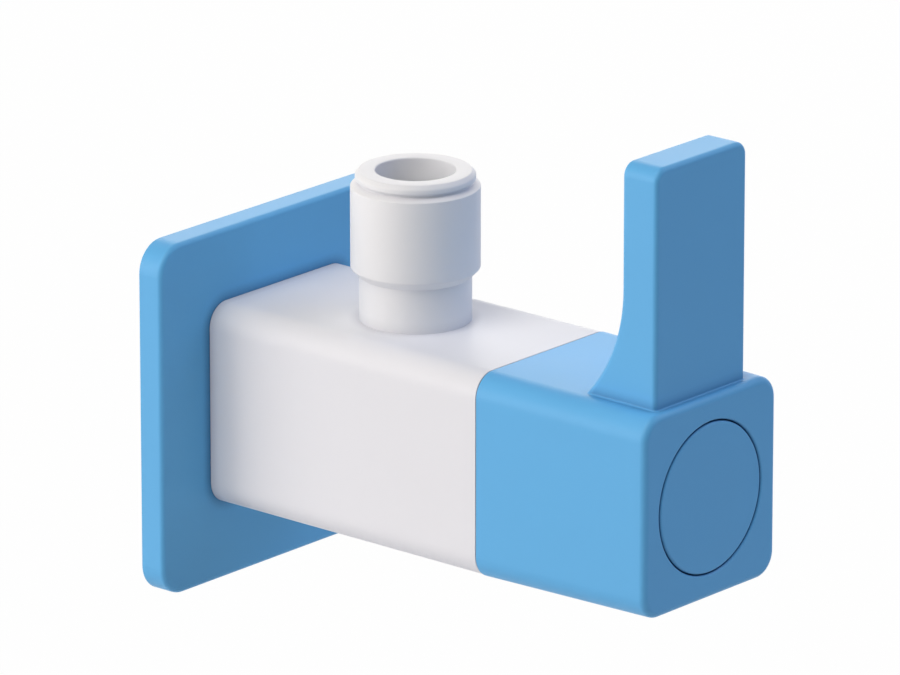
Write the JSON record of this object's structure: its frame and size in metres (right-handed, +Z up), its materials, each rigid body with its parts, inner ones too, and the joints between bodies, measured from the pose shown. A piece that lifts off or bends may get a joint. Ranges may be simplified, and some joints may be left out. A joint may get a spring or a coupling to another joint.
{
  "type": "angle cock",
  "caption": "Square quarter-turn wall valve with a sliding wall flange, an upward round outlet and a lever handle with a flush index cap.",
  "frame": {"origin": "on the inlet axis, at the wall plane (the wall flange's back face), which is the inner end of the inlet thread", "axes": "+Y into the wall along the inlet axis, +Z up along the outlet, +X to the right for a person facing the wall"},
  "size_m": [0.0568, 0.1093, 0.0862],
  "materials": {
    "blue_plastic": "satin sky-blue moulded plastic",
    "white_plastic": "satin cool-white moulded plastic",
    "outlet_plastic": "satin white moulded plastic",
    "tail_plastic": "matt white glass-filled plastic",
    "strainer_plastic": "natural slippery plastic",
    "black_rubber": "matt black rubber",
    "disc_ceramic": "lapped white ceramic",
    "cartridge_brass": "turned brass",
    "fastener_steel": "stainless steel"
  },
  "bodies": {
    "valve": {"valve_body": "white_plastic", "inlet_nipple": "tail_plastic", "inlet_o_ring": "black_rubber", "inlet_strainer": "strainer_plastic", "outlet_nipple": "outlet_plastic", "outlet_o_ring": "black_rubber", "seat_gasket": "black_rubber", "fixed_disc": "disc_ceramic", "cartridge_housing": "cartridge_brass", "cartridge_o_ring": "black_rubber"},
    "handle": {"handle": "blue_plastic", "handle_cap": "blue_plastic", "handle_screw": "fastener_steel", "screw_washer": "fastener_steel", "spline_insert": "cartridge_brass", "spindle": "cartridge_brass", "spindle_o_rings": "black_rubber", "thrust_washer": "strainer_plastic", "spindle_clip": "fastener_steel", "moving_disc": "disc_ceramic"},
    "flange": {"wall_flange": "blue_plastic", "flange_grip_ring": "black_rubber"}
  },
  "joints": [
    {"name": "handle_turn", "type": "hinge", "parent": "valve", "child": "handle", "pos_m": [0, -0.0611, 0], "axis": [0, 1, 0], "range_deg": [0, 90]},
    {"name": "flange_slide", "type": "slide", "parent": "valve", "child": "flange", "axis": [0, 1, 0], "range_m": [0, 0.009]}
  ]
}
